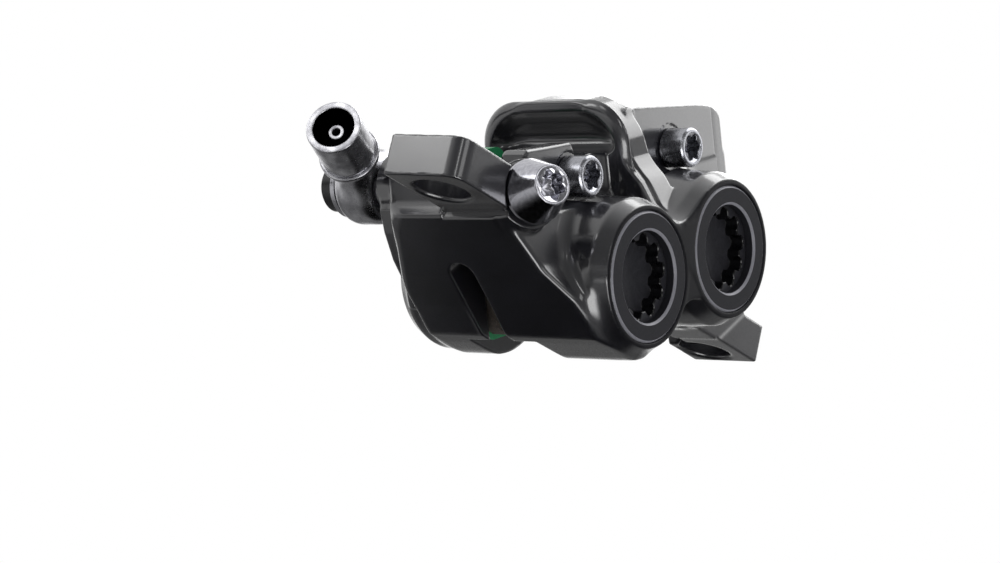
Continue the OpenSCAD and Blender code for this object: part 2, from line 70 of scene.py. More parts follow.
# outlines seen along the pistons' axes, and the plan seen from outside
LOWER = [(-34.2, 13.6), (-31.6, 8.6), (-29, 3.4), (-25.8, -2.1), (-22.5, -7.5), (-19.8, -9),
         (-11.5, -11), (-4, -9.2), (4, -9.2), (11.5, -11), (21, -7.5), (25.5, -3.5), (32, 1),
         (34.6, 5), (35, 8.5), (34.2, 12.4), (5, 12.4), (5, 11.6), (-10, 11.6), (-23, 12.6),
         (-24, 15.6), (-31, 16)]
PLAN = [(-36, -19.2), (-11.5, -19.2), (-11.5, -10.8), (27, -10.8), (31, -9.6), (34.6, -7.4),
        (35.2, -4), (35.2, 7.5), (33.5, 10), (29, 13.4), (-27, 13.4), (-33, 9), (-36, 4)]
WALL_LEFT = [(-34, 13), (-31.4, 19.7), (-26.9, 17.3), (-24.9, 17.2), (-24.5, 20.9),
             (-23.6, 21.4), (-18, 21.1), (-12.6, 20.9), (-11.4, 18.2), (-7.5, 18.6),
             (-3.6, 18), (-1.2, 16.6), (-0.2, 14.6), (0, 8), (-30, 8)]
WALL_RIGHT = [(2.6, 4), (2.6, 24.8), (8, 24.4), (19, 23), (27.4, 21.9), (31.4, 19.8),
              (33.8, 16.2), (35, 12), (35.2, 8), (30, 4)]
# how far the block leans out towards the caps at each height: (r, q)
LEAN = [(-20, -19.2), (-4, -19.2), (-0.5, -18.4), (4.6, -15.2), (11.6, -13.2), (17, -12.6)]
# radius of the near and far housings along their axes: (q, radius)
NEAR_NECK = [(-22.5, 10.6), (-22, 10.75), (-19.4, 12.1), (-16, 12.3)]
FAR_NECK = [(14, 12.0), (16, 11.9), (18, 10.7), (18.5, 10.6)]
WEB_HALF, WEB_WAIST_R = 9.8, 8
# boss and bolt of the hose fitting
BOLT_T, BOLT_R, BOSS_END = -22.3, 15.9, 15.6
BOSS = [(-28.4, 13.4), (-27.9, 9.6), (-26.6, 5), (-24.7, 1.2), (-23.2, -3), (-10, 0),
        (-16, 16), (-24, 20.6)]
# arch over the row, its lip and the pocket under it; then the extra half
# width at its foot (r, width) and the groove behind the lip (t, depth)
ARCH_LEFT, ARCH_RIGHT, ARCH_HALF, ARCH_RISE, ARCH_AT_R, ARCH_CORNER = -3.2, 4.4, 13.2, 16.3, 9.8, 9.6
LIP_HALF, LIP_AT_R, LIP_CORNER, LIP_END = 14.4, 10.1, 7.4, -1.7
POCKET_HALF, POCKET_AT_R, POCKET_CORNER, POCKET_FOOT_R = 12.3, 8.4, 7.6, 17.6
FLARE = [(5, 9.5), (6.2, 8.8), (7.4, 6), (9.2, 4.6), (12, 3.3), (13.1, 2.7), (14.9, 1.2),
         (16.5, 0.2), (18, 0)]
GROOVE = [(-2.2, 0), (-1.7, 0.5), (-0.8, 0.5), (-0.3, 0.1), (4.4, 0)]
ARCH_FOOT = [(-3.2, 4), (-3.2, 18), (4.4, 20), (6.4, 13), (8, 6)]
SLOPE = [(-30, 6.2), (-22, 6.2), (-19, 7.4), (-16.8, 9.2), (-14, 11.3), (-10.8, 13), (-8, 13.6)]
# ears on the posts, and the flat faces milled under them
EAR_TOP, EAR_NEAR, EAR_FAR, EAR_ROOT_X, EAR_END_X = 6.4, -7.1, 5.4, 23, 42.3
EAR_ROOT = [(20, 0), (29, 0), (35, 6.4), (28, 12), (20, 12)]
EAR_TAPER, LOWEST_Z, EAR_FACE_X, EAR_FACE_NEAR, EAR_FACE_FAR = 0.112, -12.9, 29, -12.1, 5.6
POST_HOLE_X, POST_HOLE_R = 37.1, 4.2
# bleed screw's boss: its seat's place and direction
BLEED_AT = Vector((-26.4, -7.4, 3.9))
BLEED_TURN = Matrix.Rotation(math.radians(-22.4), 4, "Z") @ Matrix.Rotation(math.radians(86), 4, "X")
BLEED_BOSS_R, BLEED_SEAT_R, BLEED_HOLE_R, BLEED_SEAT, BLEED_FLOOR = 5.3, 5.2, 2.95, -0.3, -7.3
# windows for the pads' plates and lugs, with rounded corners
PLATE_WIDE, PLATE_HIGH, PLATE_CORNER = 9.5, 9.6, 3.2
LUG_WIDE, LUG_HIGH, LUG_CORNER = 4.1, 7.3, 2.6
# pad screws and crossover plug
SCREW_T, SCREW_R, SCREW_HEAD_R, SCREW_HOLE_R, SCREW_SEAT, SCREW_END = 14, 15.9, 3.75, 2.1, -10.6, 9.4
PLUG_T, PLUG_R, PLUG_HOLE_R = 3.4, 13.8, 1.65


def linear(hex_colour):
    parts = [int(hex_colour[i:i + 2], 16) / 255 for i in (1, 3, 5)]
    return [c / 12.92 if c < 0.04045 else ((c + 0.055) / 1.055) ** 2.4 for c in parts] + [1]


def wire(tree, node, links):
    for socket, source in links.items():
        tree.links.new(source, node.inputs[socket])


def add(tree, kind, settings, links):
    node = tree.nodes.new(kind)
    for key, value in settings.items():
        if isinstance(key, str) and hasattr(node, key):
            setattr(node, key, value)
        else:
            node.inputs[key].default_value = value
    wire(tree, node, links)
    return node


def material(name, settings):
    made = bpy.data.materials.new(name)
    made.use_nodes = True
    tree = made.node_tree
    shader = tree.nodes["Principled BSDF"]
    for key, value in settings.items():
        shader.inputs[key].default_value = value
    where = add(tree, "ShaderNodeTexCoord", {}, {}).outputs["Object"]
    return made, tree, shader, where


# A noise of a real grain size, and its share between dark and light, 0 to 1.
def grain_of(tree, where, size_mm, detail, rough=0.5):
    height = add(tree, "ShaderNodeTexNoise", {"Scale": 1000 / size_mm, "Detail": detail, "Roughness": rough},
                 {"Vector": where}).outputs["Fac"]
    share = add(tree, "ShaderNodeMapRange", {"From Min": 0.3, "From Max": 0.7}, {"Value": height})
    return height, share.outputs[0]


# Forged aluminium, bead blasted, anodised black and lacquered: glossy, with a
# faint orange peel. Faces milled after lacquering are matt. The blasted grain
# is drawn coarser than the real one, so that it shows.
def anodised_black():
    made, tree, shader, where = material("forged_aluminium_anodised_black",
                                         {"IOR": 1.45, "Coat Weight": 1.0, "Coat IOR": 1.72})
    _, cloud = grain_of(tree, where, 9, 3)
    grain_height, grain = grain_of(tree, where, 0.35, 2)
    place = add(tree, "ShaderNodeSeparateXYZ", {}, {0: where})
    mouth_y = (MOUTH + SLOT_Y) / 1000
    milled = add(tree, "ShaderNodeMapRange",
                 {"From Min": mouth_y + 0.00018, "From Max": mouth_y + 0.00032, "To Min": 1, "To Max": 0},
                 {"Value": place.outputs[1]}).outputs[0]
    lacquered = add(tree, "ShaderNodeMix",
                    {"data_type": "RGBA", 6: linear("#111118"), 7: linear("#17171f")}, {0: cloud})
    bare = add(tree, "ShaderNodeMix",
               {"data_type": "RGBA", 6: linear("#131317"), 7: linear("#1a1a1e")}, {0: grain})
    colour = add(tree, "ShaderNodeMix", {"data_type": "RGBA"},
                 {0: milled, 6: lacquered.outputs[2], 7: bare.outputs[2]})
    rough = add(tree, "ShaderNodeMapRange", {"To Min": 0.36, "To Max": 0.46}, {"Value": grain})
    coat_rough = add(tree, "ShaderNodeMapRange", {"To Min": 0.11, "To Max": 0.17}, {"Value": cloud})
    coat = add(tree, "ShaderNodeMapRange", {"To Min": 1, "To Max": 0}, {"Value": milled})
    shine = add(tree, "ShaderNodeMapRange", {"To Min": 0.5, "To Max": 0.12}, {"Value": milled})
    bump = add(tree, "ShaderNodeBump", {"Strength": 0.5, "Distance": 0.004 / 1000}, {"Height": grain_height})
    wire(tree, shader, {"Base Color": colour.outputs[2], "Roughness": rough.outputs[0],
                        "Coat Roughness": coat_rough.outputs[0], "Coat Weight": coat.outputs[0],
                        "Specular IOR Level": shine.outputs[0], "Normal": bump.outputs[0]})
    return made


# Union and intersection of two fields, with the edge eased over a width.
def smin(a, b, soft):
    h = np.maximum(soft - np.abs(a - b), 0) / soft
    return np.minimum(a, b) - h * h * soft * 0.25


def smax(a, b, soft):
    return -smin(-a, -b, soft)


def outline(a, b, points):
    nearest, inside = 1e9, False
    for (x0, y0), (x1, y1) in zip(points, points[1:] + points[:1]):
        ex, ey = x1 - x0, y1 - y0
        wx, wy = a - x0, b - y0
        h = np.clip((wx * ex + wy * ey) / (ex * ex + ey * ey), 0, 1)
        nearest = np.minimum(nearest, (wx - ex * h) ** 2 + (wy - ey * h) ** 2)
        if y0 != y1:
            inside = inside ^ (((y0 > b) != (y1 > b)) & (a < ex * (b - y0) / ey + x0))
    return np.where(inside, -1.0, 1.0) * np.sqrt(nearest)


def convex(a, b, points, soft):
    edges = []
    for (x0, y0), (x1, y1) in zip(points, points[1:] + points[:1]):
        size = math.hypot(x1 - x0, y1 - y0)
        edges.append(((y0 - y1) * (a - x0) + (x1 - x0) * (b - y0)) / size)
    inside = edges[0]
    for edge in edges[1:]:
        inside = smax(inside, edge, soft)
    return inside


def slab(a, low, high):
    return np.maximum(low - a, a - high)


def round_box(a, b, half_a, half_b, corner):
    u, v = np.abs(a) - half_a + corner, np.abs(b) - half_b + corner
    return np.hypot(np.maximum(u, 0), np.maximum(v, 0)) + np.minimum(np.maximum(u, v), 0) - corner


# A height that changes along x through the points, with its corners eased.
def curve(points, x, soft):
    step = 0.05
    xs = np.arange(points[0][0] - 6, points[-1][0] + 6, step)
    ys = np.interp(xs, [p[0] for p in points], [p[1] for p in points])
    window = np.hanning(max(int(soft / step), 3) + 2)
    pad = len(window)
    ys = np.convolve(np.pad(ys, pad, "edge"), window / window.sum(), "same")[pad:-pad]
    return np.interp(x, xs, ys)


def from_axis(x, y, z, at, way):
    dx, dy, dz = x - at.x, y - at.y, z - at.z
    along = dx * way.x + dy * way.y + dz * way.z
    return along, np.sqrt(np.maximum(dx ** 2 + dy ** 2 + dz ** 2 - along ** 2, 0))


# A housing round a bore; the factor keeps the field even on its drawn-in neck.
def housing(away, q, neck, low, high):
    return smax((away - curve(neck, q, 1.6)) * 0.92, slab(q, low, high), 0.35)


# Both halves, leaning out towards the caps at the left, and the two walls.
def block_and_walls(t, q, r, left, right):
    lower = smin(outline(t, r, LOWER), smin(left, right, 0.1) - HOUSING_R, 2.0)
    lean = curve(LEAN, r, 2.5)
    plan = outline(t, q, PLAN)
    block = smax(smax(lower, (lean - q) * 0.9, 1.2), smax(plan, q - FAR_WALL, 1.0), 0.8)
    walls = smin(outline(t, r, WALL_LEFT), convex(t, r, WALL_RIGHT, 2.5), 0.1)
    walls = smax(smax(walls, slab(q, -WALL_HALF, WALL_HALF), 0.5), plan, 0.6)
    return smin(block, walls, 0.8)


# Housings with drawn-in mouths, and the waisted web between them.
def with_housings(shape, t, q, r, left, right):
    for away in (left, right):
        shape = smin(shape, housing(away, q, NEAR_NECK, MOUTH, 1), 2.2)
        shape = smin(shape, housing(away, q, FAR_NECK, -1, FAR_END), 1.6)
    web = smax(round_box(t, r, ROW_HALF, WEB_HALF, 0.5), WEB_WAIST_R - np.hypot(t, r - 14.2), 0.5)
    web = smax(web, WEB_WAIST_R - np.hypot(t, r + 13.9), 0.5)
    return smin(shape, smax(web, slab(q, MOUTH, 17), 0.6), 0.4)


# Boss under the hose fitting, with a raised round seat.
def with_boss(shape, t, q, r):
    seat = smax(np.hypot(t - BOLT_T, r - BOLT_R) - 5.2, slab(q, 4, 16.5), 0.4)
    seat = smin(seat, smax(outline(t, r, BOSS), slab(q, 4, BOSS_END), 0.8), 1.2)
    return smin(shape, seat, 1.0)


# Arch: a flange with a lip at its left edge and a groove behind the lip, then
# the sloping face from the right wall's foot down to the crest between the caps.
def with_arch(shape, t, q, r, right):
    flare = curve(FLARE, r, 1.6) * (q < 0)
    flange = round_box(q, r - ARCH_AT_R, ARCH_HALF + flare, ARCH_RISE, ARCH_CORNER)
    flange = flange + curve(GROOVE, t, 0.4)
    flange = smax(flange, slab(t, -3, ARCH_RIGHT), 0.6)
    lip = round_box(q, r - LIP_AT_R, LIP_HALF + 0.45 * flare, ARCH_RISE, LIP_CORNER)
    lip = smax(smax(lip, ARCH_LEFT - t, 2.6), t - LIP_END, 0.5)
    shape = smin(shape, smin(flange, lip, 0.2), 0.8)
    slope = np.maximum((r - curve(SLOPE, q, 1.6)) * 0.85, -r)
    slope = smax(slope, smax(slab(t, ARCH_LEFT, 12), slab(q, -21.8, 4), 0.5), 0.5)
    flank = smin(slope, housing(right, q, NEAR_NECK, MOUTH, 1), 4.5)
    shape = smin(shape, smax(flank, slab(q, MOUTH, -13.4), 0.6), 0.5)
    return smin(shape, smax(outline(t, r, ARCH_FOOT), slab(q, -11.6, 12.4), 0.6), 0.8)


# Ears: the left one tapers and has a rounded near corner, the right one has a
# gusset at its root.
def with_ears(shape, x, y, z):
    height = slab(z, 0, EAR_TOP)
    end = (-43 - x - EAR_TAPER * (y - EAR_NEAR)) * 0.994
    sides = smax(smax(end, EAR_NEAR - y, 2.6), y - EAR_FAR, 0.35)
    ear_left = smax(smax(height, sides, 0.35), x + EAR_ROOT_X, 0.3)
    depth = slab(y, EAR_NEAR, EAR_FAR)
    ear_right = smax(smax(height, depth, 0.3), slab(x, EAR_ROOT_X, EAR_END_X), 0.4)
    root = smax(outline(x, z, EAR_ROOT), depth, 0.6)
    return smin(smin(shape, ear_left, 0.9), smin(ear_right, root, 1.5), 0.9)


# Slot between the halves, windows for the pads, the wider room above them and the
# pocket under the arch.
def less_pads(shape, t, q, r):
    disc = np.hypot(t, r + SLOT_AXIS_R)
    slot = np.where(disc < SLOT_TOP_R, np.abs(q), np.hypot(disc - SLOT_TOP_R, q))
    shape = smax(shape, -slot + SLOT_HALF, 0.4)
    side = np.abs(t)
    plate = round_box(side - ROW_HALF, r + 1, PLATE_WIDE, PLATE_HIGH, PLATE_CORNER)
    lug = round_box(side - SCREW_T, r - 13.4, LUG_WIDE, LUG_HIGH, LUG_CORNER)
    window = np.minimum(smin(plate, lug, 0.3), np.maximum(slab(side, 6.8, 21.2), 8 - r))
    window = np.minimum(window, np.maximum(slab(side, 2.5, 20.5), slab(r, -20, -4)))
    shape = smax(shape, -np.maximum(window, np.abs(q) - PAD_HALF), 0.4)
    room = np.minimum(np.maximum(slab(t, ARCH_RIGHT, 25), np.abs(q) - ROOM_HALF),
                      np.maximum(slab(t, -25, ARCH_LEFT), np.abs(q) - PAD_HALF))
    shape = smax(shape, -np.maximum(room, 19 - r), 0.5)
    pocket = round_box(q, r - POCKET_AT_R, POCKET_HALF, ARCH_RISE, POCKET_CORNER)
    pocket = smax(pocket, POCKET_FOOT_R - r, 2.5)
    bowl = t - np.minimum(0.5 - 0.45 * (r - 19), 2.6)
    pocket = smax(pocket + np.clip(t + 2.9, 0, 5) * 0.4, bowl, 2.5)
    return smax(shape, -np.maximum(pocket, -3.4 - t), 0.35)


# Bores with the seats of the caps, and the pad screws' seats and holes.
def less_bores(shape, t, q, r, left, right):
    for away in (left, right):
        bores = np.minimum(np.maximum(away - BORE_R, slab(q, -23, -SLOT_HALF)),
                           np.maximum(away - BORE_R, slab(q, SLOT_HALF, BORE_FLOOR)))
        seats = np.maximum(away - FLANGE_SEAT_R, slab(q, RING_SEAT, CAP_SEAT))
        seats = np.minimum(seats, np.maximum(away - RING_SEAT_R, slab(q, -24, RING_SEAT)))
        shape = smax(shape, -np.minimum(bores, seats), 0.25)
    for at in (-SCREW_T, SCREW_T):
        away = np.hypot(t - at, r - SCREW_R)
        holes = np.minimum(np.maximum(away - SCREW_HEAD_R, slab(q, -24, SCREW_SEAT)),
                           np.maximum(away - SCREW_HOLE_R, slab(q, -20, SCREW_END)))
        shape = smax(shape, -holes, 0.25)
    plug = np.maximum(np.hypot(t - PLUG_T, r - PLUG_R) - PLUG_HOLE_R, slab(q, 10.6, 20))
    return smax(shape, -plug, 0.15)


def body_field(t, q, r):
    x, y, z = world_of(t, q, r)
    left, right = np.hypot(t + ROW_HALF, r), np.hypot(t - ROW_HALF, r)
    along, off = from_axis(x, y, z, BLEED_AT, BLEED_TURN @ Vector((0, 0, 1)))
    shape = block_and_walls(t, q, r, left, right)
    shape = with_housings(shape, t, q, r, left, right)
    shape = with_boss(shape, t, q, r)
    shape = with_arch(shape, t, q, r, right)
    shape = with_ears(shape, x, y, z)
    shape = smin(shape, smax(off - BLEED_BOSS_R, slab(along, -9, BLEED_SEAT), 0.3), 0.8)
    shape = less_pads(shape, t, q, r)
    # faces milled flat: round the caps' seats and along the lowest edge
    shape = smax(smax(shape, MOUTH - q, 0.3), LOWEST_Z - z, 0.5)
    shape = less_bores(shape, t, q, r, left, right)
    # ears' holes, faces under the ears, and the bleed screw's seat and hole
    for at in (-POST_HOLE_X, POST_HOLE_X):
        shape = smax(shape, POST_HOLE_R - np.hypot(x - at, y), 0.9)
    shape = smax(shape, -np.maximum(EAR_FACE_X - x, z), 0.3)
    under_left = np.maximum(np.maximum(x + EAR_FACE_X, z), slab(y, EAR_FACE_NEAR, EAR_FACE_FAR))
    shape = smax(shape, -under_left, 0.3)
    shape = smax(shape, -np.maximum(off - BLEED_SEAT_R, slab(along, BLEED_SEAT, 9)), 0.2)
    return smax(shape, -np.maximum(off - BLEED_HOLE_R, slab(along, BLEED_FLOOR, 1)), 0.1)


# A quad mesh on the field's zero: one point in each cell that the surface
# crosses, at the mean of its crossings, and one quad for each crossed edge.
def surface_net(field, low, high, step):
    axes = [np.arange(a, b, step, dtype=np.float32) for a, b in zip(low, high)]
    t, q, r = axes[0][:, None, None], axes[1][None, :, None], axes[2][None, None, :]
    value = np.broadcast_to(field(t, q, r), [len(a) for a in axes]).astype(np.float32)
    solid = value < 0
    count = np.zeros([n - 1 for n in solid.shape], np.int8)
    for i in (0, 1):
        for j in (0, 1):
            for k in (0, 1):
                count += solid[i:i - 1 or None, j:j - 1 or None, k:k - 1 or None]
    cells = np.argwhere((count > 0) & (count < 8))
    index = np.full(count.shape, -1, np.int32)
    index[tuple(cells.T)] = np.arange(len(cells))
    total, hits = np.zeros((len(cells), 3)), np.zeros(len(cells))
    corners = [(i, j, k) for i in (0, 1) for j in (0, 1) for k in (0, 1)]
    for a in corners:
        for axis in range(3):
            if a[axis]:
                continue
            b = list(a)
            b[axis] = 1
            va = value[tuple((cells + a).T)]
            vb = value[tuple((cells + b).T)]
            cross = (va < 0) != (vb < 0)
            share = np.where(cross, va / np.where(cross, va - vb, 1), 0)
            point = np.array(a) + share[:, None] * (np.array(b) - a)
            total += point * cross[:, None]
            hits += cross
    points = (cells + total / hits[:, None]) * step + np.array([a[0] for a in axes])
    faces = []
    for axis in range(3):
        u, v = (axis + 1) % 3, (axis + 2) % 3
        near = [slice(1, -1)] * 3
        near[axis] = slice(0, -1)
        far = list(near)
        far[axis] = slice(1, None)
        here, there = solid[tuple(near)], solid[tuple(far)]
        for flip in (False, True):
            edges = np.argwhere(~here & there if flip else here & ~there)
            start = edges.copy()
            start[:, u] += 1
            start[:, v] += 1
            ring = []
            for du, dv in ((-1, -1), (0, -1), (0, 0), (-1, 0)):
                cell = start.copy()
                cell[:, u] += du
                cell[:, v] += dv
                ring.append(index[tuple(cell.T)])
            faces.append(np.stack(ring[::-1] if flip else ring, 1))
    return points, np.concatenate(faces)


def slope_of(field, points, reach):
    grads = []
    for axis in range(3):
        step = np.zeros(3)
        step[axis] = reach
        grads.append(field(*(points + step).T) - field(*(points - step).T))
    return np.stack(grads, 1) / (2 * reach)


# Moves the points onto the surface, a quarter of a millimetre at most a time.
def settle(field, points):
    for _ in range(3):
        grad = slope_of(field, points, 0.02)
        size = np.maximum((grad ** 2).sum(1), 0.15)
        move = grad * (field(*points.T) / size)[:, None]
        points = points - np.clip(move, -0.25, 0.25)
    return points


def blended(name, field, low, high, step, finish, body, node):
    step = step
    points, quads = surface_net(field, low, high, step)
    points = settle(field, points)
    mesh = bpy.data.meshes.new(name)
    mesh.from_pydata(points.tolist(), [], quads.tolist())
    mesh.transform(MM @ ROW)
    mesh.update()
    obj = bpy.data.objects.new(name, mesh)
    bpy.context.scene.collection.objects.link(obj)
    normals = slope_of(field, points, 0.05)
    normals /= np.maximum(np.linalg.norm(normals, axis=1), 1e-6)[:, None]
    turn = np.array(ROW.to_3x3())
    mesh.shade_smooth()
    mesh.normals_split_custom_set_from_vertices((normals @ turn.T).tolist())
    mesh.materials.append(finish)
    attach(obj, body)
    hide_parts(node)


blended("caliper_body_forging", body_field, (-47, -23.5, -23.5), (37, 19.5, 28), 0.32,
        anodised_black(), "caliper", "caliper_body")


# Cover rings. Turned aluminium rings pressed round the caps, anodised matt
# black, with a painted highlight, a light grey colour, on the turned chamfers at both edges of the face.
# A profile of (radius, height) points is spun round an axis, with each corner
# eased by a small arc. A third value gives a point its own outline there, as
# in a socket.
def eased(profile, ease):
    points = [profile[0]]
    for a, b, c in zip(profile, profile[1:], profile[2:]):
        pa, pb, pc = Vector(a[:2]), Vector(b[:2]), Vector(c[:2])
        back, ahead = pa - pb, pc - pb
        cut = min(ease, back.length * 0.4, ahead.length * 0.4)
        if cut < 0.01 or back.angle(ahead, math.pi) > math.radians(172):
            points.append(b)
            continue
        start, end = pb + back.normalized() * cut, pb + ahead.normalized() * cut
        for s in (0, 0.33, 0.67, 1):
            p = start * (1 - s) ** 2 + pb * 2 * s * (1 - s) + end * s ** 2
            points.append((p.x, p.y) + tuple(b[2:]))
    return points + [profile[-1]]


def turned(name, place, profile, finish, body, node, ease, turns):
    points = eased(profile, ease)
    verts, faces = [], []
    for radius, height, *shape in points:
        for i in range(turns):
            angle = 2 * math.pi * i / turns
            here = radius * (shape[0](angle) if shape else 1)
            verts.append((here * math.cos(angle), here * math.sin(angle), height))
    for k in range(len(points) - 1):
        for i in range(turns):
            j = (i + 1) % turns
            faces.append((k * turns + i, k * turns + j, (k + 1) * turns + j, (k + 1) * turns + i))
    ends = () if profile[0] == profile[-1] else ((0, True), (len(points) - 1, False))
    for k, flip in ends:
        centre = len(verts)
        verts.append((0, 0, points[k][1]))
        for i in range(turns):
            a, b = k * turns + i, k * turns + (i + 1) % turns
            if points[k][0] > 0.01:
                faces.append((b, a, centre) if flip else (a, b, centre))
    mesh = bpy.data.meshes.new(name)
    mesh.from_pydata(verts, [], faces)
    mesh.transform(MM @ place)
    mesh.update()
    mesh.shade_smooth()
    mesh.materials.append(finish)
    obj = bpy.data.objects.new(name, mesh)
    bpy.context.scene.collection.objects.link(obj)
    weigh = obj.modifiers.new("weighted_normals", "WEIGHTED_NORMAL")
    weigh.weight = 80
    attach(obj, body)
    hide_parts(node)


# A place in the row frame whose axis points out of the caps' side.
def facing(t, q, r):
    return ROW @ Matrix.Translation((t, q, r)) @ Matrix.Rotation(math.radians(90), 4, "X")


# How far a face turns towards the caps' side, 0 to 1.
def turned_out(tree):
    normal = add(tree, "ShaderNodeNewGeometry", {}, {}).outputs["True Normal"]
    return add(tree, "ShaderNodeVectorMath", {"operation": "DOT_PRODUCT", 1: (0, -1, 0)},
               {0: normal}).outputs["Value"]


# Matt anodising with a low gloss; the chamfers are smoother and carry a painted highlight, a light grey
# colour in place of their reflection.
def ring_black():
    made, tree, shader, where = material("turned_aluminium_anodised_matt", {"IOR": 1.25})
    height, grain = grain_of(tree, where, 0.16, 3)
    out = turned_out(tree)
    past_wall = add(tree, "ShaderNodeMapRange", {"From Min": 0.3, "From Max": 0.5}, {"Value": out})
    before_face = add(tree, "ShaderNodeMapRange",
                      {"From Min": 0.9, "From Max": 0.98, "To Min": 1, "To Max": 0}, {"Value": out})
    chamfer = add(tree, "ShaderNodeMath", {"operation": "MULTIPLY"},
                  {0: past_wall.outputs[0], 1: before_face.outputs[0]}).outputs[0]
    matt = add(tree, "ShaderNodeMix",
               {"data_type": "RGBA", 6: linear("#1d1d22"), 7: linear("#26262b")}, {0: grain})
    # painted highlight: the chamfers' light grey colour stands in for the reflection their rounded edges
    # show
    painted_highlight = add(tree, "ShaderNodeMix",
                 {"data_type": "RGBA", 6: linear("#84848c"), 7: linear("#98989f")}, {0: grain})
    colour = add(tree, "ShaderNodeMix", {"data_type": "RGBA"},
                 {0: chamfer, 6: matt.outputs[2], 7: painted_highlight.outputs[2]})
    rough = add(tree, "ShaderNodeMapRange", {"To Min": 0.56, "To Max": 0.3}, {"Value": chamfer})
    bump = add(tree, "ShaderNodeBump", {"Strength": 0.6, "Distance": 0.006 / 1000}, {"Height": height})
    wire(tree, shader, {"Base Color": colour.outputs[2], "Roughness": rough.outputs[0],
                        "Normal": bump.outputs[0]})
    return made


RING_BLACK = ring_black()
RING_PROFILE = [(7.0, 0.1), (9.8, 0.1), (10, 0.3), (10, 1.35), (9.65, 1.7), (7.35, 1.7), (7.0, 1.35),
                (7.0, 0.1)]
for end, t in (("left", -ROW_HALF), ("right", ROW_HALF)):
    turned("cover_ring_" + end, facing(t, RING_SEAT, 0), RING_PROFILE, RING_BLACK, "caliper",
           "cap_ring_" + end, 0.06, 128)


# Bore caps. Turned aluminium discs screwed into the near bores with a
# ten-lobed socket, anodised black and glossy. Faces turned square are matt.
SOCKET_R, LOBE_AT_R, LOBE_R = 6.5, 5.35, 1.15


def cap_black():
    made, tree, shader, where = material("turned_aluminium_anodised_gloss", {"IOR": 1.4})
    height, grain = grain_of(tree, where, 0.5, 3)
    flat = add(tree, "ShaderNodeMapRange", {"From Min": 0.85, "From Max": 0.97},
               {"Value": turned_out(tree)}).outputs[0]
    gloss = add(tree, "ShaderNodeMix",
                {"data_type": "RGBA", 6: linear("#08080a"), 7: linear("#0e0e11")}, {0: grain})
    matt = add(tree, "ShaderNodeMix",
               {"data_type": "RGBA", 6: linear("#202026"), 7: linear("#2a2a30")}, {0: grain})
    colour = add(tree, "ShaderNodeMix", {"data_type": "RGBA"},
                 {0: flat, 6: gloss.outputs[2], 7: matt.outputs[2]})
    rough = add(tree, "ShaderNodeMapRange", {"To Min": 0.2, "To Max": 0.6}, {"Value": flat})
    bump = add(tree, "ShaderNodeBump", {"Strength": 0.4, "Distance": 0.003 / 1000}, {"Height": height})
    wire(tree, shader, {"Base Color": colour.outputs[2], "Roughness": rough.outputs[0],
                        "Normal": bump.outputs[0]})
    return made


def ten_lobes(angle):
    turn = (angle + math.pi / 10) % (math.pi / 5) - math.pi / 10
    room = max(LOBE_R ** 2 - (LOBE_AT_R * math.sin(turn)) ** 2, 0)
    return max(LOBE_AT_R, LOBE_AT_R * math.cos(turn) + math.sqrt(room)) / SOCKET_R


CAP_BLACK = cap_black()
CAP_PROFILE = [(9.2, 0), (9.2, 3.6), (9.6, 3.7), (9.6, 4.4), (6.75, 4.4, ten_lobes),
               (SOCKET_R, 4.2, ten_lobes), (SOCKET_R, 2.1, ten_lobes), (0.02, 2.1)]
for end, t in (("left", -ROW_HALF), ("right", ROW_HALF)):
    turned("bore_cap_" + end, facing(t, CAP_SEAT, 0), CAP_PROFILE, CAP_BLACK, "caliper",
           "bore_cap_" + end, 0.08, 240)


# Pad screws. Turned steel, satin, with a six-lobed socket and a chamfered rim.
# They pass through the pads' lugs into the far wall.
def grained(name, settings, size_mm, colours, roughs, bump_mm, strength):
    made, tree, shader, where = material(name, settings)
    height, grain = grain_of(tree, where, size_mm, 3)
    dark, light = colours
    smooth, rough = roughs
    colour = add(tree, "ShaderNodeMix", {"data_type": "RGBA", 6: linear(dark), 7: linear(light)}, {0: grain})
    roughness = add(tree, "ShaderNodeMapRange", {"To Min": smooth, "To Max": rough}, {"Value": grain})
    wire(tree, shader, {"Base Color": colour.outputs[2], "Roughness": roughness.outputs[0]})
    if bump_mm:
        bump = add(tree, "ShaderNodeBump", {"Strength": strength, "Distance": bump_mm / 1000},
                   {"Height": height})
        wire(tree, shader, {"Normal": bump.outputs[0]})
    return made


def six_lobes(angle):
    return 0.87 + 0.13 * math.cos(6 * angle)


SCREW_STEEL = grained("turned_steel_satin", {"Metallic": 1.0}, 0.4, ("#8f9096", "#a9aab0"),
                      (0.24, 0.3), 0, 0)
SCREW_PROFILE = [(2, -19.8), (2, -0.1), (3.15, 0), (3.15, 4.0), (2.85, 4.3), (2.35, 4.3),
                 (2.25, 4.15, six_lobes), (2.2, 1.6, six_lobes), (0.6, 1.3)]
for end, t in (("left", -SCREW_T), ("right", SCREW_T)):
    turned("pad_screw_" + end + "_turned", facing(t, SCREW_SEAT - 0.2, SCREW_R), SCREW_PROFILE, SCREW_STEEL,
           "caliper", "pad_screw_" + end, 0.08, 120)


# Bleed screw. A cone of turned aluminium, polished, with a six-lobed socket.
# It closes the drilling at the left ear's root.
BLEED_ALUMINIUM = grained("turned_aluminium_polished", {"Metallic": 1.0}, 0.6, ("#a6a6ad", "#bcbcc2"),
                          (0.14, 0.24), 0.003, 0.4)
BLEED_PROFILE = [(2.9, -7), (2.9, 0.6), (4.9, 0.7), (4.9, 1.5), (3.05, 5.95), (2.95, 6.1), (2.6, 6.1),
                 (2.35, 5.9, six_lobes), (2.2, 3.4, six_lobes), (0.6, 3.1)]
turned("bleed_screw_turned", Matrix.Translation(BLEED_AT) @ BLEED_TURN, BLEED_PROFILE, BLEED_ALUMINIUM,
       "caliper", "bleed_screw", 0.1, 144)


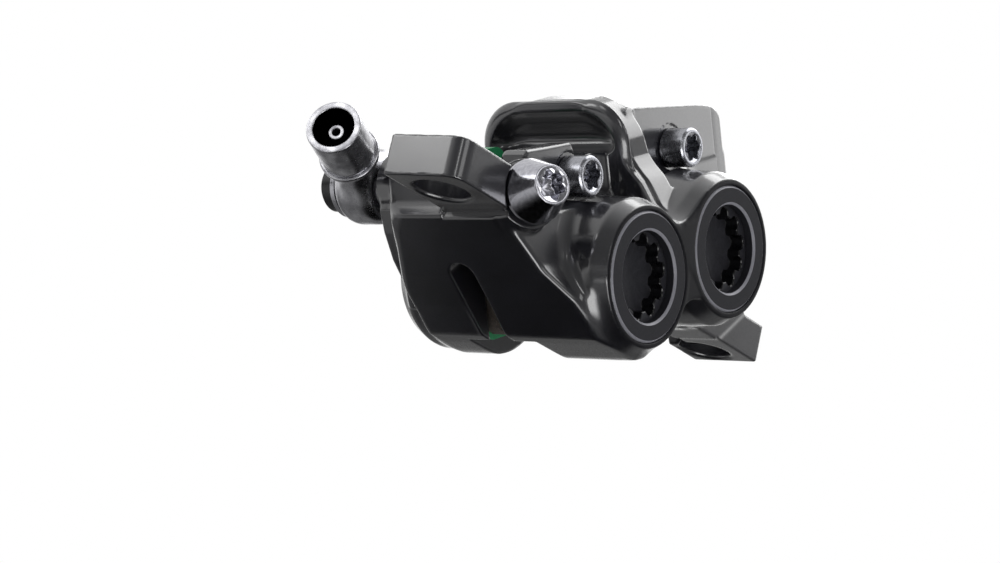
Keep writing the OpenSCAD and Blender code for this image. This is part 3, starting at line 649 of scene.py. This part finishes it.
# Hose fitting. A polished aluminium eye on the banjo bolt, cast in one with
# the arm that carries the hose's sleeve, and blended softly at its root. The
# stub for the hose stands in the sleeve.
ARM_AT = Vector((-20.384, 29.35, 7.482))
ARM_WAY = Vector((-0.92343, -0.36812, 0.10848)).normalized()
ARM_PLACE = Matrix.Translation(ARM_AT) @ ARM_WAY.to_track_quat("Z", "Y").to_matrix().to_4x4()
EYE_R, EYE_HOLE_R, EYE_NEAR, EYE_FAR = 5.9, 3.06, 17.35, 25.25
ARM_R, ARM_FLANGE_R, SPIGOT_R, ARM_BORE_R, ARM_LENGTH = 2.85, 4.75, 3.15, 1.25, 12


# Cast and polished, with dull stains from use. The inside of the sleeve is not
# polished, and it is painted near black as painted shade, since no light reaches it.
def worn_aluminium():
    made, tree, shader, where = material("cast_aluminium_polished", {"Metallic": 1.0})
    _, stain = grain_of(tree, where, 2.2, 4, 0.6)
    height, grain = grain_of(tree, where, 0.3, 3)
    out = add(tree, "ShaderNodeVectorMath", {"operation": "SUBTRACT", 1: ARM_AT / 1000}, {0: where})
    along = add(tree, "ShaderNodeVectorMath", {"operation": "DOT_PRODUCT", 1: ARM_WAY},
                {0: out.outputs[0]})
    across = add(tree, "ShaderNodeVectorMath", {"operation": "CROSS_PRODUCT", 1: ARM_WAY},
                 {0: out.outputs[0]})
    off = add(tree, "ShaderNodeVectorMath", {"operation": "LENGTH"}, {0: across.outputs[0]})
    past_spigot = add(tree, "ShaderNodeMapRange", {"From Min": 0.0118, "From Max": 0.0122},
                      {"Value": along.outputs["Value"]})
    in_sleeve = add(tree, "ShaderNodeMapRange",
                    {"From Min": 0.00322, "From Max": 0.00328, "To Min": 1, "To Max": 0},
                    {"Value": off.outputs["Value"]})
    off_stub = add(tree, "ShaderNodeMapRange", {"From Min": 0.0015, "From Max": 0.0016},
                   {"Value": off.outputs["Value"]})
    bore = add(tree, "ShaderNodeMath", {"operation": "MULTIPLY"},
               {0: past_spigot.outputs[0], 1: in_sleeve.outputs[0]})
    bore = add(tree, "ShaderNodeMath", {"operation": "MULTIPLY"},
               {0: bore.outputs[0], 1: off_stub.outputs[0]})
    polished = add(tree, "ShaderNodeMix",
                   {"data_type": "RGBA", 6: linear("#96969b"), 7: linear("#d6d6da")}, {0: stain})
    # painted shade: near black inside the sleeve, where no light reaches
    dark = add(tree, "ShaderNodeMix",
               {"data_type": "RGBA", 6: linear("#0c0c0e"), 7: linear("#161618")}, {0: grain})
    colour = add(tree, "ShaderNodeMix", {"data_type": "RGBA"},
                 {0: bore.outputs[0], 6: polished.outputs[2], 7: dark.outputs[2]})
    rough = add(tree, "ShaderNodeMapRange", {"To Min": 0.34, "To Max": 0.2}, {"Value": stain})
    bump = add(tree, "ShaderNodeBump", {"Strength": 0.4, "Distance": 0.004 / 1000}, {"Height": height})
    wire(tree, shader, {"Base Color": colour.outputs[2], "Roughness": rough.outputs[0],
                        "Normal": bump.outputs[0]})
    return made


def eye_field(t, q, r):
    x, y, z = world_of(t, q, r)
    away = np.hypot(t - BOLT_T, r - BOLT_R)
    barrel = smax(away - EYE_R, slab(q, EYE_NEAR, EYE_FAR), 2.6)
    along, off = from_axis(x, y, z, ARM_AT, ARM_WAY)
    arm = smax(off - ARM_R, slab(along, 0, ARM_LENGTH), 0.2)
    cone = curve([(9, ARM_R), (11.2, ARM_FLANGE_R), (13, ARM_FLANGE_R)], along, 0.4)
    flange = smax(off - cone, slab(along, 9, ARM_LENGTH), 0.3)
    shape = smin(smin(barrel, arm, 2.4), flange, 0.4)
    shape = np.minimum(shape, np.maximum(off - SPIGOT_R, slab(along, 11, 13.6)))
    shape = smax(shape, EYE_HOLE_R - away, 0.3)
    return np.maximum(shape, -np.maximum(off - ARM_BORE_R, 4 - along))


FITTING_ALUMINIUM = worn_aluminium()
blended("hose_eye_cast", eye_field, (-42, 9, 9), (-15, 27, 29), 0.2,
        FITTING_ALUMINIUM, "hose_fitting", "hose_eye")
SLEEVE_PROFILE = [(3.2, 12.1), (4.3, 12.1), (4.3, 20.5), (4.2, 20.65), (3.3, 20.65), (3.2, 20.5),
                  (3.2, 12.1)]
turned("hose_sleeve_turned", ARM_PLACE, SLEEVE_PROFILE, FITTING_ALUMINIUM, "hose_fitting",
       "hose_sleeve", 0.12, 128)
STUB_PROFILE = [(0.65, 7), (1.2, 7), (1.2, 13.7), (1.45, 13.7), (1.2, 14.7), (1.45, 14.9), (1.2, 15.9),
                (1.2, 19), (0.65, 19), (0.65, 7)]
turned("hose_stub_turned", ARM_PLACE, STUB_PROFILE, FITTING_ALUMINIUM, "hose_fitting",
       "hose_barb", 0.08, 64)


# Pads, pistons, magnets, seals, washers, banjo bolt and plug. They keep the
# shapes they were built with. Ground steel and plated magnets shine, powder
# coat and oxide are satin, and moulded rubber and pressed resin are dull.
# Each finish has its colours, smooth to rough, metal or not, and grain in mm.
FINISHES = {
    "seal_rubber": ("moulded_rubber_black", ("#0b0b0c", "#131314"), (0.55, 0.66), 0, 0.5),
    "piston_steel": ("ground_steel", ("#9a9aa0", "#b0b0b6"), (0.2, 0.31), 1, 0.3),
    "magnet_nickel": ("plated_magnet", ("#a8a59c", "#bcb9b0"), (0.17, 0.28), 1, 0.3),
    "plate_green": ("powder_coated_steel_green", ("#1b7a4c", "#22905a"), (0.4, 0.51), 0, 0.3),
    "lining_resin": ("pressed_resin_lining", ("#2c2724", "#4a413a"), (0.8, 0.91), 0, 0.25),
    "bolt_black": ("oxidised_steel_black", ("#0b0b0d", "#141417"), (0.25, 0.36), 0, 0.5),
    "washer_aluminium": ("pressed_aluminium_washer", ("#a9a9ae", "#bdbdc2"), (0.25, 0.36), 1, 0.4),
}
MADE = {slot_name: grained(name, {"Metallic": metal}, size_mm, colours, roughs, 0.006, 0.5)
        for slot_name, (name, colours, roughs, metal, size_mm) in FINISHES.items()}
for part in frame["record"]["subparts"]:
    obj = frame["nodes"][part["node"]]
    if part["material_slot"] in MADE:
        obj.data.materials.clear()
        obj.data.materials.append(MADE[part["material_slot"]])


# Camera. It stands low on the bleed side and looks up past the near caps, with
# the long lens that the photograph was fitted with.
eye = bpy.data.cameras.new("camera")
eye.sensor_width = 36
eye.lens = 92.616
eye.clip_start = 0.01
camera = bpy.data.objects.new("camera", eye)
camera.location = (-0.30726, -0.23290, -0.10474)
camera.rotation_euler = [math.radians(a) for a in (105.0715, -12.2494, -54.2823)]
bpy.context.scene.collection.objects.link(camera)
bpy.context.scene.camera = camera


# Floor and cards, in metres. The floor is pale painted board, below the
# camera. Two black felt cards show only in reflections: one under the part,
# with a soft glow that grows outwards and a small white panel, and one
# behind the ear's end.
FLOOR_Z, FLAG_Z = -0.125, -0.075
GLOW_BY_RADIUS = [(0.065, 0), (0.1, 0.22), (0.16, 0.2), (0.24, 0.1), (0.32, 0.25), (0.45, 0.4)]
CORNER_GLOW, PANEL_GLOW, PANEL_AT = 0.6, 5.0, (-0.095, -0.165, 0)


def floor_paint():
    made, tree, shader, where = material("painted_floor_pale", {"Roughness": 0.8})
    _, share = grain_of(tree, where, 60, 2)
    colour = add(tree, "ShaderNodeMix",
                 {"data_type": "RGBA", 6: linear("#e2e2e2"), 7: linear("#ececec")}, {0: share})
    wire(tree, shader, {"Base Color": colour.outputs[2]})
    return made


def black_felt(name):
    made, tree, shader, where = material(name, {"Roughness": 1.0, "Specular IOR Level": 0.0,
                                                "Emission Color": (1, 1, 1, 1)})
    _, share = grain_of(tree, where, 2, 2)
    colour = add(tree, "ShaderNodeMix",
                 {"data_type": "RGBA", 6: linear("#020202"), 7: linear("#050505")}, {0: share})
    wire(tree, shader, {"Base Color": colour.outputs[2]})
    return made, tree, shader, where


# The share of a glow that falls off along x and y between two places each.
def glow_at(tree, place, strength, x_ends, y_ends, y_levels):
    place = add(tree, "ShaderNodeSeparateXYZ", {}, {0: place})
    by_x = add(tree, "ShaderNodeMapRange",
               {"From Min": x_ends[0], "From Max": x_ends[1], "To Min": strength, "To Max": 0},
               {"Value": place.outputs[0]})
    by_y = add(tree, "ShaderNodeMapRange",
               {"From Min": y_ends[0], "From Max": y_ends[1], "To Min": y_levels[0], "To Max": y_levels[1]},
               {"Value": place.outputs[1]})
    return add(tree, "ShaderNodeMath", {"operation": "MULTIPLY"},
               {0: by_x.outputs[0], 1: by_y.outputs[0]}).outputs[0]


def graded_felt():
    made, tree, shader, where = black_felt("black_felt_graded")
    away = add(tree, "ShaderNodeVectorMath", {"operation": "LENGTH"}, {0: where}).outputs["Value"]
    graded = add(tree, "ShaderNodeValToRGB", {}, {0: away})
    for k, (radius, value) in enumerate(GLOW_BY_RADIUS):
        stops = graded.color_ramp.elements
        stop = stops[k] if k < 2 else stops.new(radius)
        stop.position = radius
        stop.color = (value, value, value, 1)
    corner = glow_at(tree, where, CORNER_GLOW, (-0.12, -0.04), (-0.05, 0.1), (0, 1))
    from_panel = add(tree, "ShaderNodeVectorMath", {"operation": "SUBTRACT", 1: PANEL_AT}, {0: where})
    from_panel = add(tree, "ShaderNodeVectorMath", {"operation": "ABSOLUTE"}, {0: from_panel.outputs[0]})
    panel = glow_at(tree, from_panel.outputs[0], PANEL_GLOW, (0.06, 0.09), (0.07, 0.1), (1, 0))
    glow = add(tree, "ShaderNodeMath", {"operation": "ADD"}, {0: graded.outputs["Color"], 1: corner})
    glow = add(tree, "ShaderNodeMath", {"operation": "ADD"}, {0: glow.outputs[0], 1: panel})
    wire(tree, shader, {"Emission Strength": glow.outputs[0]})
    return made


def card(name, size, location, finish):
    half = size / 2
    mesh = bpy.data.meshes.new(name)
    mesh.from_pydata([(-half, -half, 0), (half, -half, 0), (half, half, 0), (-half, half, 0)], [],
                     [(0, 1, 2, 3)])
    mesh.materials.append(finish)
    obj = bpy.data.objects.new(name, mesh)
    obj.location = location
    bpy.context.scene.collection.objects.link(obj)
    return obj


card("floor", 4, (0, 0, FLOOR_Z), floor_paint())
flag = card("black_flag", 1.8, (0, 0, FLAG_Z), graded_felt())
side_flag = card("side_flag", 0.55, (-0.47, 0.38, -0.245), black_felt("black_felt")[0])
side_flag.rotation_euler = (math.pi / 2, 0, math.radians(51))
for obj in (flag, side_flag):
    obj.visible_camera = False
    obj.visible_diffuse = False
    obj.visible_shadow = False
    obj.visible_transmission = False


# Studio. The backdrop is white where the camera sees it. In reflections it is
# pale behind the part and dark on the camera's side, and it lights the rest
# faintly.
world = bpy.data.worlds.new("studio")
bpy.context.scene.world = world
world.use_nodes = True
sky = world.node_tree
backdrop = sky.nodes["Background"]
backdrop.inputs["Color"].default_value = (1, 1, 1, 1)
path = add(sky, "ShaderNodeLightPath", {}, {})
way = add(sky, "ShaderNodeTexCoord", {}, {}).outputs["Generated"]
behind = add(sky, "ShaderNodeVectorMath", {"operation": "DOT_PRODUCT", 1: (0.3, 0.95, 0.1)}, {0: way})
behind = add(sky, "ShaderNodeMapRange",
             {"From Min": -0.3, "From Max": 0.1, "To Min": 0.2, "To Max": 0.95},
             {"Value": behind.outputs["Value"]})
level = add(sky, "ShaderNodeMapRange", {"To Min": 0.35},
            {"Value": path.outputs["Is Glossy Ray"], "To Max": behind.outputs["Result"]})
seen = add(sky, "ShaderNodeMath", {"operation": "MAXIMUM"},
           {0: path.outputs["Is Camera Ray"], 1: path.outputs["Is Transmission Ray"]})
level = add(sky, "ShaderNodeMapRange", {"To Max": 1.0},
            {"Value": seen.outputs[0], "To Min": level.outputs["Result"]})
wire(sky, backdrop, {"Strength": level.outputs["Result"]})


# Soft boxes. They stand over, behind and on both sides of the part, and each
# is aimed at a point 10 mm above its origin. Sizes and distances are in metres.
def softbox(name, towards, distance, width, height, radiance):
    lamp = bpy.data.lights.new(name, "AREA")
    lamp.shape = "RECTANGLE"
    lamp.size = width
    lamp.size_y = height
    lamp.energy = radiance * math.pi * width * height
    obj = bpy.data.objects.new(name, lamp)
    obj.location = Vector((0, 0, 0.01)) + Vector(towards).normalized() * distance
    obj.rotation_euler = (-Vector(towards)).to_track_quat("-Z", "Y").to_euler()
    obj.visible_camera = False
    bpy.context.scene.collection.objects.link(obj)


softbox("softbox_over", (0.45, -0.2, 0.87), 0.7, 0.6, 0.5, 3.2)
softbox("softbox_right", (0.778, -0.449, 0.438), 1.2, 0.35, 0.385, 2.5)
softbox("softbox_edge", (-0.66, -0.69, 0.29), 0.8, 0.1, 0.25, 3.4)
softbox("softbox_left", (-0.80, 0.44, 0.38), 0.7, 0.25, 0.19, 3.4)
softbox("softbox_front", (-0.87, 0.05, 0.48), 0.7, 0.12, 0.2, 2.6)
softbox("softbox_front_high", (-0.12, -0.9, 0.36), 0.7, 0.3, 0.22, 1.8)
softbox("softbox_back", (0.7, 0.36, 0.62), 0.8, 0.4, 0.25, 3.0)

bpy.context.scene.view_settings.view_transform = "Standard"
